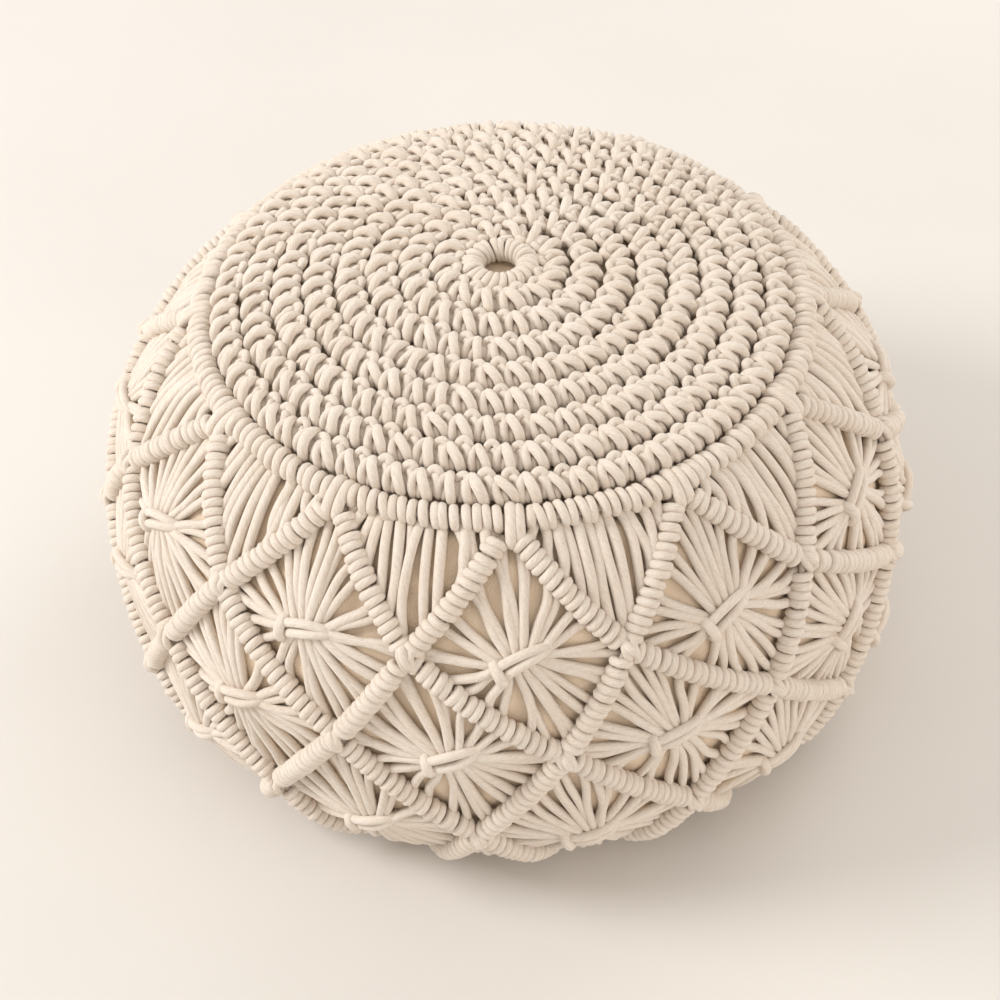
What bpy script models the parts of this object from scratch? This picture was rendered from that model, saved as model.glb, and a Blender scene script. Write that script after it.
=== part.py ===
"""Round floor cushion: a filled fabric liner inside a knotted cord cover, with a zip in the base.

Metres, +Z up. The origin is on the floor under the middle of the cushion. The front faces -Y.
The cover is described on one turned surface, the cord surface, that the cord centres lie on. A place on it
is given by its distance along the profile from the crown, its angle round the cushion, and its height
above the surface.
"""

from math import ceil, cos, pi, radians, sin, sqrt

import bmesh
import bpy
import numpy as np
from mathutils import Vector

# Profile of the cord surface.
RIM_RADIUS = 0.1757
RIM_HEIGHT = 0.2525
CROWN_RISE = 0.0281
CROWN_FULLNESS = 0.73  # share of the rise that is left half way to the rim
EQUATOR_RADIUS = 0.2430
EQUATOR_HEIGHT = 0.1356
SHOULDER_INSET = 0.0174
SHOULDER_DROP = 0.0576
HAUNCH_INSET = 0.0026
HAUNCH_HEIGHT = 0.0643
TUCK_INSET = 0.0200
TUCK_HEIGHT = 0.0235
HEM_RADIUS = 0.1820
HEM_HEIGHT = 0.0075
PROFILE_STEPS = 24  # steps of the profile from one of its points to the next

# Cord cover.
DIAMONDS = 12  # diamonds round each tier
TIER_ENDS = (0.0, 0.255, 0.467, 0.705, 1.0)  # lattice rows, as shares of the way from rim to hem
TIER_TWIST = (0.0, 0.6, 6.3, 9.7, 12.0)  # degrees that each row is turned round
KNOT_ROWS = 8
KNOT_HALF_HEIGHT = 0.0060
RIM_CORD_RADIUS = 0.0070
HEM_CORD_RADIUS = 0.0070
RING_RADIUS = 0.0152
RING_CORD_RADIUS = 0.0075
BAR_RADIUS = 0.0065
CROSSING_RADIUS = 0.56 * BAR_RADIUS
CROSSING_LIFT = 0.67 * BAR_RADIUS
CROSSING_REACH = 0.2  # share of a bar's run that it narrows over, next to a crossing
BAR_FULL = (CROSSING_REACH, 1 - CROSSING_REACH)  # between these it has its full radius
BAR_END_SPREAD = 1.7  # room beside a bar's end for the bar it meets, in crossing radii
# How deep straight steps may cut into the profile's curve.
BAR_SAG = 0.0012
PANEL_SAG = 0.0040
LINER_SAG = 0.0022
TUCK_SAG = 0.0019
PANEL_THICKNESS = 0.0040
PANEL_BELOW_BARS = 0.0024
PANEL_BACK = -(BAR_RADIUS + PANEL_BELOW_BARS + PANEL_THICKNESS)
PANEL_SHELF = 0.0085  # width of a panel's low edge, under a bar
PANEL_SHELF_SHARE = 0.3  # the most that one low edge takes of a panel's height
PANEL_NECK = 0.0080  # height of a panel where two crossings pinch it
PANEL_FULL_RISE = 0.0400  # height of panel, inside its edges, at which its middle is fully raised
STAR_RISE = 0.0055
FAN_TUCK = 0.0030  # how far the rim's fan runs in behind the rim cord

# Liner and filling.
LINER_THICKNESS = 0.0015
LINER_SLOPE = 0.0220  # stretch of the top panel that falls away towards its seam
CONTACT_RADIUS = 0.1620
BASE_ROUNDING = 0.0060
DISH_DEPTH = 0.0090
DISH_SIDE = 0.0140  # width of the dish's sloping side

# Zip, along X in the dish of the base.
ZIP_LENGTH = 0.1700
ZIP_END_ROOM = 0.0130  # from each end of the zip to the side of the dish
DISH_RADIUS = ZIP_LENGTH / 2 + ZIP_END_ROOM
ZIP_SLOT_WIDTH = 0.0076
COIL_RADIUS = 0.0009
COIL_SPACING = 0.0025
TAPE_WIDTH = 0.0114
TAPE_THICKNESS = 0.0006
TAPE_OVERHANG = 0.0030
STOP_LENGTH = 0.0030
STOP_HEIGHT = 0.0018
SLIDER_LENGTH = 0.0120
SLIDER_WIDTH = 0.0080
SLIDER_WALL = 0.0012
SLIDER_HEIGHT = 0.0025
SLIDER_STANDOFF = 0.0055  # from the slider to the end of the coils, with the zip closed
PULL_LENGTH = 0.0240
PULL_WIDTH = 0.0060
PULL_THICKNESS = 0.0012
PULL_NECK_LENGTH = 0.0040
EYE_RADIUS = 0.0014
PIN_RADIUS = 0.0006
PIN_CLEARANCE = 0.0003
EAR_THICKNESS = 0.0010
EAR_SPACING = 0.0032

# Gaps and mesh fineness.
GAP = 0.0003
FACET_GAP = 0.0009  # between two turned skins whose facets don't line up
PANEL_FACET_SHARE = 0.032  # the same behind the panels, per metre of side, squared
TUCK_FACET_GAP = 0.0036  # added to it where the panels turn in to the hem
BAND_COLUMNS = 4 * DIAMONDS
TURN_STEPS = 36
CORD_STEPS = 48
CORD_SIDES = 6
SLOPE_STEP = 0.0005  # distance over which the profile's slope is taken
SHARP_ANGLE = 50  # degrees, from which an edge of a panel shows
COLLECTION = "floor_cushion"
CUTTERS = "cutters"


def clear_scene():
    for obj in list(bpy.data.objects):
        bpy.data.objects.remove(obj, do_unlink=True)


def new_collection(name, hidden=False):
    collection = bpy.data.collections.new(name)
    bpy.context.scene.collection.children.link(collection)
    collection.hide_render = hidden
    return collection


def material(name, colour, roughness, metallic=0.0):
    made = bpy.data.materials.new(name)
    made.use_nodes = True
    shader = made.node_tree.nodes["Principled BSDF"]
    shader.inputs["Base Color"].default_value = (*colour, 1.0)
    shader.inputs["Roughness"].default_value = roughness
    shader.inputs["Metallic"].default_value = metallic
    return made


def add_object(name, data, finish, collection):
    obj = bpy.data.objects.new(name, data)
    collection.objects.link(obj)
    data.materials.append(finish)
    return obj


# ---- The cord surface ----


def profile_points():
    """The profile's own points, from the crown down to the hem."""
    shoulder = (EQUATOR_RADIUS - SHOULDER_INSET, RIM_HEIGHT - SHOULDER_DROP)
    return [
        (0.0, RIM_HEIGHT + CROWN_RISE),
        (RIM_RADIUS / 2, RIM_HEIGHT + CROWN_RISE * CROWN_FULLNESS),
        (RIM_RADIUS, RIM_HEIGHT),
        shoulder,
        (EQUATOR_RADIUS, EQUATOR_HEIGHT),
        (EQUATOR_RADIUS - HAUNCH_INSET, HAUNCH_HEIGHT),
        (EQUATOR_RADIUS - TUCK_INSET, TUCK_HEIGHT),
        (HEM_RADIUS, HEM_HEIGHT),
    ]


def smooth_line(points):
    """A Catmull-Rom line through the points, level at the crown and at the hem."""
    first = np.array([-points[1][0], points[1][1]])
    last = np.array([2 * points[-1][0] - points[-2][0], points[-1][1]])
    knots = np.array([first, *points, last])
    line = []
    for before, start, end, after in zip(knots, knots[1:], knots[2:], knots[3:]):
        for step in range(PROFILE_STEPS):
            t = step / PROFILE_STEPS
            line.append(
                0.5
                * (
                    2 * start
                    + (end - before) * t
                    + (2 * before - 5 * start + 4 * end - after) * t**2
                    + (3 * start - before - 3 * end + after) * t**3
                )
            )
    line.append(knots[-2])
    return np.array(line)


LINE = smooth_line(profile_points())
RUN = np.concatenate([[0.0], np.cumsum(np.hypot(*np.diff(LINE, axis=0).T))])
RIM_RUN = RUN[2 * PROFILE_STEPS]  # the rim is the profile's third point
HEM_RUN = RUN[-1]
ROW_RUNS = [RIM_RUN + share * (HEM_RUN - RIM_RUN) for share in TIER_ENDS]


def line_point(run):
    return np.array([np.interp(run, RUN, axis) for axis in LINE.T])


def profile_at(run, height=0.0):
    """(radius, z) at a distance along the profile and a height above it."""
    near, far = max(run - SLOPE_STEP, 0.0), min(run + SLOPE_STEP, HEM_RUN)
    place, before, after = (line_point(at) for at in (run, near, far))
    along = (after - before) / np.hypot(*(after - before))
    outward = np.array([-along[1], along[0]]) if run > 0 else np.array([0.0, 1.0])
    return tuple(place + height * outward)


def facets(first_run, last_run, sag):
    """Straight steps that follow the profile between two runs and cut no deeper into it than the sag."""
    slope = np.unwrap(np.arctan2(*np.diff(LINE, axis=0).T[::-1]))
    middle = (RUN[1:] + RUN[:-1]) / 2
    bend = np.abs(np.gradient(slope, middle))
    sharpest = bend[(middle >= first_run) & (middle <= last_run)].max()
    return ceil((last_run - first_run) * sqrt(sharpest / (8 * sag)))


def twist_at(run):
    return radians(np.interp(run, ROW_RUNS, TIER_TWIST))


def cover_point(angle, run, height):
    """A point of the cover. Angle 0 is the front, and positive angles turn towards +X."""
    radius, z = profile_at(run, height)
    turned_angle = angle + twist_at(run)
    return Vector((radius * sin(turned_angle), -radius * cos(turned_angle), z))


# ---- General shapes ----


def turned(name, outline, finish, collection, steps=TURN_STEPS):
    """A turned solid. Its outline starts on the axis and ends on it, or is closed and clear of it."""
    on_axis = abs(outline[0][0]) < 1e-9
    mesh = bpy.data.meshes.new(name)
    count = len(outline)
    edges = [(i, i + 1) for i in range(count - 1)]
    if not on_axis:
        edges.append((count - 1, 0))
    mesh.from_pydata([(r, 0.0, z) for r, z in outline], edges, [])
    obj = add_object(name, mesh, finish, collection)
    screw = obj.modifiers.new("turn", "SCREW")
    screw.steps = steps
    screw.render_steps = steps
    screw.use_merge_vertices = True
    screw.merge_threshold = 0.00001
    screw.use_smooth_shade = True
    return obj


def offset_line(points, distance):
    """The line moved to its left by the distance, seen along it, with its corners kept."""
    line = np.array(points, float)
    along = np.diff(line, axis=0)
    along /= np.hypot(*along.T)[:, None]
    left = np.stack([-along[:, 1], along[:, 0]], axis=1)
    moved = []
    for i, point in enumerate(line):
        sides = left[max(i - 1, 0) : i + 1] if i < len(left) else left[-1:]
        middle = sides.sum(axis=0)
        middle /= np.hypot(*middle)
        moved.append(tuple(point + middle * distance / (middle @ sides[0])))
    return moved


def shell_outline(outer, thickness):
    """The closed outline of a shell, from its outer line, which runs outwards and down."""
    inner = offset_line(outer, -thickness)
    if abs(outer[0][0]) < 1e-9:
        inner[0] = (0.0, inner[0][1])
    return list(outer) + inner[::-1]


def corner_turns():
    """Directions of a cord's corners. Two point along the surface, and the flats between face out and in."""
    return [2 * pi * (corner + 0.5) / CORD_SIDES for corner in range(CORD_SIDES)]


def round_outline(middle, radius):
    """A clockwise outline about (radius, z)."""
    return [(middle[0] + radius * sin(a), middle[1] + radius * cos(a)) for a in corner_turns()]


def surface_outline(run, radius):
    """The same about a place on the cord surface, turned to lie along it."""
    return [profile_at(run + radius * sin(a), radius * cos(a)) for a in corner_turns()]


def box(name, low, high, finish, collection):
    bpy.ops.mesh.primitive_cube_add(size=1.0, location=(Vector(low) + Vector(high)) / 2)
    return adopt_primitive(name, Vector(high) - Vector(low), finish, collection)


def cylinder_along_y(name, middle, radius, length, finish, collection, sides=16):
    bpy.ops.mesh.primitive_cylinder_add(
        vertices=sides, radius=radius, depth=length, location=middle, rotation=(pi / 2, 0, 0)
    )
    return adopt_primitive(name, Vector((1, 1, 1)), finish, collection)


def adopt_primitive(name, size, finish, collection):
    """Names the new primitive, gives it its size, and moves it into the collection."""
    obj = bpy.context.active_object
    obj.name = name
    obj.data.name = name
    obj.scale = size
    bpy.ops.object.transform_apply(location=False, rotation=True, scale=True)
    for owner in list(obj.users_collection):
        owner.objects.unlink(obj)
    collection.objects.link(obj)
    obj.data.materials.append(finish)
    return obj


def use_boolean(obj, other, operation, cutters):
    """Joins or cuts with another object, which becomes a helper."""
    for owner in list(other.users_collection):
        owner.objects.unlink(other)
    cutters.objects.link(other)
    other.hide_render = True
    other.display_type = "WIRE"
    change = obj.modifiers.new(operation.lower() + "_" + other.name, "BOOLEAN")
    change.operation = operation
    change.object = other


def tube(name, points, radii, finish, collection, resolution=1):
    """A cord or bar: a curve with a round section and filled ends."""
    curve = bpy.data.curves.new(name, "CURVE")
    curve.dimensions = "3D"
    curve.bevel_depth = 1.0
    curve.bevel_resolution = resolution
    curve.use_fill_caps = True
    spline = curve.splines.new("POLY")
    spline.points.add(len(points) - 1)
    for target, point, radius in zip(spline.points, points, radii):
        target.co = (*point, 1.0)
        target.radius = radius
    return add_object(name, curve, finish, collection)


# ---- Cover ----


def knot_row_radii():
    """Middle of each knot row, evenly between the centre ring and the rim cord."""
    inner = RING_RADIUS + RING_CORD_RADIUS + GAP
    outer = RIM_RUN - RIM_CORD_RADIUS - 2 * GAP
    pitch = (outer - inner) / KNOT_ROWS
    return [(inner + pitch * (row + 0.5), pitch / 2 - GAP) for row in range(KNOT_ROWS)]


def make_centre_ring(finish, collection):
    """The ring stands on the liner, so its top is a little proud of the knots round it."""
    height = RING_CORD_RADIUS * cos(pi / CORD_SIDES) + GAP - liner_depth(RING_RADIUS)
    outline = round_outline(profile_at(RING_RADIUS, height), RING_CORD_RADIUS)
    turned("centre_ring", outline, finish, collection)


def make_knot_rows(finish, collection):
    for row, (run, half_width) in enumerate(knot_row_radii(), start=1):
        outline = [
            profile_at(run - half_width, 0.0),
            profile_at(run - half_width * 0.5, KNOT_HALF_HEIGHT),
            profile_at(run + half_width * 0.5, KNOT_HALF_HEIGHT),
            profile_at(run + half_width, 0.0),
            profile_at(run, -KNOT_HALF_HEIGHT),
        ]
        turned(f"knot_row_{row:02d}", outline, finish, collection)


def make_rim_cord(finish, collection):
    turned("rim_cord", surface_outline(RIM_RUN, RIM_CORD_RADIUS), finish, collection, steps=CORD_STEPS)


def make_hem_cord(finish, collection):
    outline = round_outline(profile_at(HEM_RUN), HEM_CORD_RADIUS)
    turned("hem_cord", outline, finish, collection, steps=CORD_STEPS)


def bar_shares(row):
    """Places of a bar's points, as shares of its way from one row's crossing to the next."""
    first, last = (ROW_RUNS[row] + share * (ROW_RUNS[row + 1] - ROW_RUNS[row]) for share in BAR_FULL)
    return [0.0, *np.linspace(*BAR_FULL, facets(first, last, BAR_SAG) + 1)]


def bar_path(start_angle, direction):
    """Angle, run, height and radius of the points of a bar that crosses all the tiers."""
    end_room = CROSSING_RADIUS + 2 * GAP
    side_room = BAR_END_SPREAD * CROSSING_RADIUS
    half_step = pi / DIAMONDS
    rows = len(ROW_RUNS)
    nodes = [[start_angle + direction * half_step * row, run] for row, run in enumerate(ROW_RUNS)]
    nodes[0][0] += direction * side_room / RIM_RADIUS
    nodes[0][1] += RIM_CORD_RADIUS + end_room
    nodes[-1][0] -= direction * side_room / HEM_RADIUS
    nodes[-1][1] -= HEM_CORD_RADIUS + end_room
    lift = -direction * CROSSING_LIFT
    path = []
    for row in range(rows - 1):
        (angle, run), (next_angle, next_run) = nodes[row], nodes[row + 1]
        for share in bar_shares(row):
            at_node = share == 0.0
            path.append(
                (
                    angle + share * (next_angle - angle),
                    run + share * (next_run - run),
                    lift if at_node and row > 0 else 0.0,
                    CROSSING_RADIUS if at_node else BAR_RADIUS,
                )
            )
    path.append((*nodes[-1], 0.0, CROSSING_RADIUS))
    return path


def make_bars(finish, collection):
    """Two families of slanting bars. The bars that run down to the left lie over the others."""
    for family, direction in (("over", -1), ("under", 1)):
        for number in range(DIAMONDS):
            path = bar_path(2 * pi * number / DIAMONDS, direction)
            points = [cover_point(angle, run, height) for angle, run, height, _ in path]
            radii = [radius for *_, radius in path]
            tube(f"bar_{family}_{number + 1:02d}", points, radii, finish, collection)


def band(name, columns, finish, collection):
    """A closed band round the cushion. Each column lists (angle, run, front height) from top to bottom."""
    mesh = bmesh.new()
    fronts = []
    backs = []
    for column in columns:
        fronts.append([mesh.verts.new(cover_point(*place)) for place in column])
        backs.append([mesh.verts.new(cover_point(angle, run, PANEL_BACK)) for angle, run, _ in column])
    for here in range(len(columns)):
        after = (here + 1) % len(columns)
        front, next_front = fronts[here], fronts[after]
        back, next_back = backs[here], backs[after]
        for row in range(len(front) - 1):
            mesh.faces.new([front[row], front[row + 1], next_front[row + 1], next_front[row]])
            mesh.faces.new([back[row], next_back[row], next_back[row + 1], back[row + 1]])
        mesh.faces.new([front[0], next_front[0], next_back[0], back[0]])
        mesh.faces.new([front[-1], back[-1], next_back[-1], next_front[-1]])
    bmesh.ops.recalc_face_normals(mesh, faces=mesh.faces)
    data = bpy.data.meshes.new(name)
    mesh.to_mesh(data)
    mesh.free()
    data.shade_smooth()
    data.set_sharp_from_angle(angle=radians(SHARP_ANGLE))
    return add_object(name, data, finish, collection)


def zigzag(angle):
    """0 over the lattice crossings of the rim's row, 1 over those of the next row, and straight between."""
    return abs((angle * DIAMONDS / (2 * pi) + 0.5) % 1.0 - 0.5) * 2


def crossing_share(angle, row):
    """1 at the crossings of this row, and 0 at those of the rows above and below it."""
    return 1 - zigzag(angle) if row % 2 == 0 else zigzag(angle)


def panel_column(angle, top, bottom, top_shelf, rise, middles=1):
    """One column of a panel: low along its edges, under the bars, and raised between them."""
    low = -(BAR_RADIUS + PANEL_BELOW_BARS)
    height = bottom - top
    upper = top + min(top_shelf, PANEL_SHELF_SHARE * height)
    lower = bottom - min(PANEL_SHELF, PANEL_SHELF_SHARE * height)
    room = max(0.0, min(1.0, (height - 2 * PANEL_SHELF) / PANEL_FULL_RISE))
    column = [(angle, top, low), (angle, upper, low)]
    for number in range(1, middles + 1):
        share = number / (middles + 1)
        column.append((angle, upper + share * (lower - upper), low + rise * room * sin(pi * share)))
    return column + [(angle, lower, low), (angle, bottom, low)]


def edge_below(row, angle):
    """Run of the panels' top edge under the bars that lead from this row to the next."""
    share = crossing_share(angle, row + 1)
    line = ROW_RUNS[row] + share * (ROW_RUNS[row + 1] - ROW_RUNS[row]) + GAP
    return max(min(line, ROW_RUNS[row + 1] - PANEL_NECK / 2), ROW_RUNS[row] + PANEL_NECK / 2 + 2 * GAP)


def edge_above(row, angle):
    """Run of the panels' bottom edge over the bars that lead from the row above to this one."""
    share = crossing_share(angle, row - 1)
    line = ROW_RUNS[row] + share * (ROW_RUNS[row - 1] - ROW_RUNS[row]) - GAP
    return min(max(line, ROW_RUNS[row - 1] + PANEL_NECK / 2), ROW_RUNS[row] - PANEL_NECK / 2 - 2 * GAP)


def column_angles():
    return [2 * pi * step / BAND_COLUMNS for step in range(BAND_COLUMNS)]


def make_star_tiers(finish, collection):
    """Three tiers of diamonds. Each diamond's cords are gathered in a star, raised in the middle."""
    for row, name in ((1, "upper"), (2, "middle"), (3, "lower")):
        middles = facets(ROW_RUNS[row - 1], ROW_RUNS[row + 1], PANEL_SAG) - 1
        columns = []
        for angle in column_angles():
            top = edge_below(row - 1, angle)
            bottom = edge_above(row + 1, angle)
            columns.append(panel_column(angle, top, bottom, PANEL_SHELF, STAR_RISE, middles))
        band(f"star_tier_{name}", columns, finish, collection)


def make_fans(finish, collection):
    """The triangles of straight cords, below the rim cord and above the hem cord."""
    under_cord = RIM_CORD_RADIUS + PANEL_NECK / 2
    hem_middles = facets(ROW_RUNS[-2], HEM_RUN, TUCK_SAG) - 1
    rim_columns = []
    hem_columns = []
    for angle in column_angles():
        top = RIM_RUN - FAN_TUCK
        bottom = edge_above(1, angle)
        rim_columns.append(panel_column(angle, top, bottom, under_cord, STAR_RISE / 2))
        top = edge_below(len(ROW_RUNS) - 2, angle)
        hem_columns.append(panel_column(angle, top, HEM_RUN - GAP, PANEL_SHELF, 0.0, hem_middles))
    band("rim_fan", rim_columns, finish, collection)
    band("hem_fan", hem_columns, finish, collection)


# ---- Liner and filling ----


def ease(share):
    """0 up to 0, 1 from 1 on, and smooth between."""
    share = max(0.0, min(1.0, share))
    return share * share * (3 - 2 * share)


def liner_depth(run):
    """How far the liner's outside lies under the cord surface: close on top, deeper behind the panels."""
    on_top = KNOT_HALF_HEIGHT + FACET_GAP
    at_side = -PANEL_BACK + PANEL_FACET_SHARE * (HEM_RUN - RIM_RUN) ** 2
    down_side = ease((run - (RIM_RUN - LINER_SLOPE)) / LINER_SLOPE)
    into_tuck = ease((run - (ROW_RUNS[-2] - LINER_SLOPE)) / LINER_SLOPE)
    return on_top + (at_side - on_top) * down_side + TUCK_FACET_GAP * into_tuck


def liner_line(runs, deeper=0.0):
    return [profile_at(run, -liner_depth(run) - deeper) for run in runs]


def top_runs():
    """The top panel is drawn with few points, apart from the slope to its seam."""
    slope = RIM_RUN - LINER_SLOPE
    return [*np.linspace(0.0, slope, 4), slope + LINER_SLOPE / 2, RIM_RUN - GAP]


def side_runs():
    """The side panel is drawn with enough points to follow its bends."""
    tuck = ROW_RUNS[-2]
    side = np.linspace(RIM_RUN + GAP, tuck, facets(RIM_RUN, tuck, LINER_SAG) + 1)
    return [*side, *np.linspace(tuck, HEM_RUN, facets(tuck, HEM_RUN, TUCK_SAG) + 1)[1:]]


def base_line():
    """The base panel's underside: a dish, the ring it rests on, and its side up to the seam."""
    seam_z = profile_at(HEM_RUN, -liner_depth(HEM_RUN))[1]
    return [
        (0.0, DISH_DEPTH),
        (DISH_RADIUS, DISH_DEPTH),
        (DISH_RADIUS + DISH_SIDE, 0.0),
        (CONTACT_RADIUS, 0.0),
        (CONTACT_RADIUS + BASE_ROUNDING, BASE_ROUNDING / 2),
        (HEM_RADIUS - HEM_CORD_RADIUS - FACET_GAP, HEM_HEIGHT),
        (HEM_RADIUS - HEM_CORD_RADIUS - FACET_GAP, seam_z),
    ]


def make_liner(finish, collection):
    for name, runs in (("liner_top", top_runs()), ("liner_side", side_runs())):
        turned(name, shell_outline(liner_line(runs), LINER_THICKNESS), finish, collection)


def make_liner_base(finish, collection, cutters):
    """The base panel, with the slot that the zip closes."""
    under = base_line()
    over = offset_line(under, LINER_THICKNESS)
    over[0] = (0.0, over[0][1])
    panel = turned("liner_base", over + under[::-1], finish, collection)
    half_length = ZIP_LENGTH / 2 + STOP_LENGTH + 2 * GAP
    low = (-half_length, -ZIP_SLOT_WIDTH / 2, DISH_DEPTH - LINER_THICKNESS)
    high = (half_length, ZIP_SLOT_WIDTH / 2, DISH_DEPTH + 2 * LINER_THICKNESS)
    slot = box("zip_slot_cutter", low, high, finish, collection)
    use_boolean(panel, slot, "DIFFERENCE", cutters)


def make_filling(finish, collection):
    """The loose filling as one body that fills the liner."""
    room = LINER_THICKNESS + GAP
    sides = offset_line(liner_line(top_runs()[:-1] + [RIM_RUN] + side_runs()[1:]), -room)
    sides[0] = (0.0, sides[0][1])
    under = offset_line(base_line(), room)
    under[0] = (0.0, under[0][1])
    under[-1] = (under[-1][0], under[-1][1] + room)
    turned("filling", sides + under[::-1], finish, collection)


# ---- Zip ----


def tape_top():
    return DISH_DEPTH - GAP


def coil_height():
    return tape_top() - TAPE_THICKNESS / 2


def make_zip_tapes(finish, collection):
    inner = COIL_SPACING / 2 + COIL_RADIUS + GAP
    half_length = ZIP_LENGTH / 2 + TAPE_OVERHANG
    for name, side in (("front", -1), ("back", 1)):
        near, far = sorted((side * inner, side * (inner + TAPE_WIDTH)))
        low = (-half_length, near, tape_top() - TAPE_THICKNESS)
        high = (half_length, far, tape_top())
        box(f"zip_tape_{name}", low, high, finish, collection)


def make_zip_coils(finish, collection):
    for name, side in (("front", -1), ("back", 1)):
        ends = [(x, side * COIL_SPACING / 2, coil_height()) for x in (-ZIP_LENGTH / 2, ZIP_LENGTH / 2)]
        tube(f"zip_coil_{name}", ends, (COIL_RADIUS, COIL_RADIUS), finish, collection, resolution=2)


def make_zip_stops(finish, collection):
    half_width = COIL_SPACING / 2 + COIL_RADIUS
    for name, end in (("closed", 1), ("open", -1)):
        near, far = sorted((end * (ZIP_LENGTH / 2 + GAP), end * (ZIP_LENGTH / 2 + GAP + STOP_LENGTH)))
        low = (near, -half_width, coil_height() - STOP_HEIGHT / 2)
        high = (far, half_width, coil_height() + STOP_HEIGHT / 2)
        box(f"zip_stop_{name}", low, high, finish, collection)


def slider_middle():
    return ZIP_LENGTH / 2 - SLIDER_STANDOFF - SLIDER_LENGTH / 2


def slider_top():
    return tape_top() - TAPE_THICKNESS - GAP


def pin_height():
    return slider_top() - SLIDER_HEIGHT - GAP - EYE_RADIUS


def make_zip_slider(finish, collection, cutters):
    """A channel that straddles the coils, with two ears and a pin for the pull under it."""
    x = slider_middle()
    half_length, half_width = SLIDER_LENGTH / 2, SLIDER_WIDTH / 2
    floor_z = slider_top() - SLIDER_HEIGHT
    low = (x - half_length, -half_width, floor_z)
    high = (x + half_length, half_width, slider_top())
    slider = box("zip_slider", low, high, finish, collection)
    channel_low = (x - SLIDER_LENGTH, -half_width + SLIDER_WALL, floor_z + SLIDER_WALL)
    channel_high = (x + SLIDER_LENGTH, half_width - SLIDER_WALL, slider_top() + SLIDER_HEIGHT)
    channel = box("slider_channel_cutter", channel_low, channel_high, finish, collection)
    use_boolean(slider, channel, "DIFFERENCE", cutters)
    for name, side in (("front", -1), ("back", 1)):
        near, far = sorted((side * EAR_SPACING / 2, side * (EAR_SPACING / 2 + EAR_THICKNESS)))
        ear_low = (x - EYE_RADIUS, near, pin_height() - EYE_RADIUS)
        ear_high = (x + EYE_RADIUS, far, floor_z + SLIDER_WALL / 2)
        ear = box(f"slider_ear_{name}_joined", ear_low, ear_high, finish, collection)
        use_boolean(slider, ear, "UNION", cutters)
    pin_length = EAR_SPACING + EAR_THICKNESS
    middle = (x, 0.0, pin_height())
    pin = cylinder_along_y("slider_pin_joined", middle, PIN_RADIUS, pin_length, finish, collection, sides=12)
    use_boolean(slider, pin, "UNION", cutters)


def make_zip_pull(finish, collection, cutters):
    """The pull: an eye on the slider's pin, a narrow neck and a flat tab. Its origin is on the pin's axis."""
    x, z = slider_middle(), pin_height()
    neck_width = EAR_SPACING - 2 * PIN_CLEARANCE
    pull = cylinder_along_y("zip_pull", (x, 0.0, z), EYE_RADIUS, neck_width, finish, collection)
    half_thickness = PULL_THICKNESS / 2
    neck_low = (x + PIN_RADIUS, -neck_width / 2, z - half_thickness)
    neck_high = (x + PULL_NECK_LENGTH + PULL_THICKNESS, neck_width / 2, z + half_thickness)
    neck = box("pull_neck_joined", neck_low, neck_high, finish, collection)
    tab_low = (x + PULL_NECK_LENGTH, -PULL_WIDTH / 2, z - half_thickness)
    tab_high = (x + PULL_LENGTH, PULL_WIDTH / 2, z + half_thickness)
    tab = box("pull_tab_joined", tab_low, tab_high, finish, collection)
    hole_radius = PIN_RADIUS + PIN_CLEARANCE
    hole = cylinder_along_y("pull_hole_cutter", (x, 0.0, z), hole_radius, 2 * neck_width, finish, collection)
    use_boolean(pull, neck, "UNION", cutters)
    use_boolean(pull, tab, "UNION", cutters)
    use_boolean(pull, hole, "DIFFERENCE", cutters)


def main():
    clear_scene()
    parts = new_collection(COLLECTION)
    cutters = new_collection(CUTTERS, hidden=True)
    cord = material("cotton_cord", (0.80, 0.71, 0.59), 0.90)
    liner = material("liner_cotton", (0.72, 0.60, 0.45), 0.92)
    wadding = material("wadding", (0.88, 0.87, 0.84), 0.95)
    tape = material("zip_tape", (0.70, 0.60, 0.47), 0.85)
    coil = material("zip_nylon", (0.66, 0.57, 0.45), 0.45)
    metal = material("zip_metal", (0.62, 0.60, 0.56), 0.35, metallic=1.0)

    make_filling(wadding, parts)
    make_liner(liner, parts)
    make_liner_base(liner, parts, cutters)
    make_zip_tapes(tape, parts)
    make_zip_coils(coil, parts)
    make_zip_stops(metal, parts)
    make_zip_slider(metal, parts, cutters)
    make_zip_pull(metal, parts, cutters)
    make_centre_ring(cord, parts)
    make_knot_rows(cord, parts)
    make_rim_cord(cord, parts)
    make_fans(cord, parts)
    make_star_tiers(cord, parts)
    make_bars(cord, parts)
    make_hem_cord(cord, parts)


main()
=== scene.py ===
"""Looks of the round floor cushion: every cord, knot, wrap and tie of its cover, its liner, and its zip.

Metres, +Z up, in the frame of the CAD model. The cover is laid out on the cord surface, a turned surface that
the middles of the cords lie on. A place on it is an angle round the cushion, from the front towards +X, a run
along the profile from the crown, and a height above the surface. Small shapes are given in millimetres.
"""

import bmesh
import bpy
import numpy as np
from mathutils import Matrix, Vector


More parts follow.
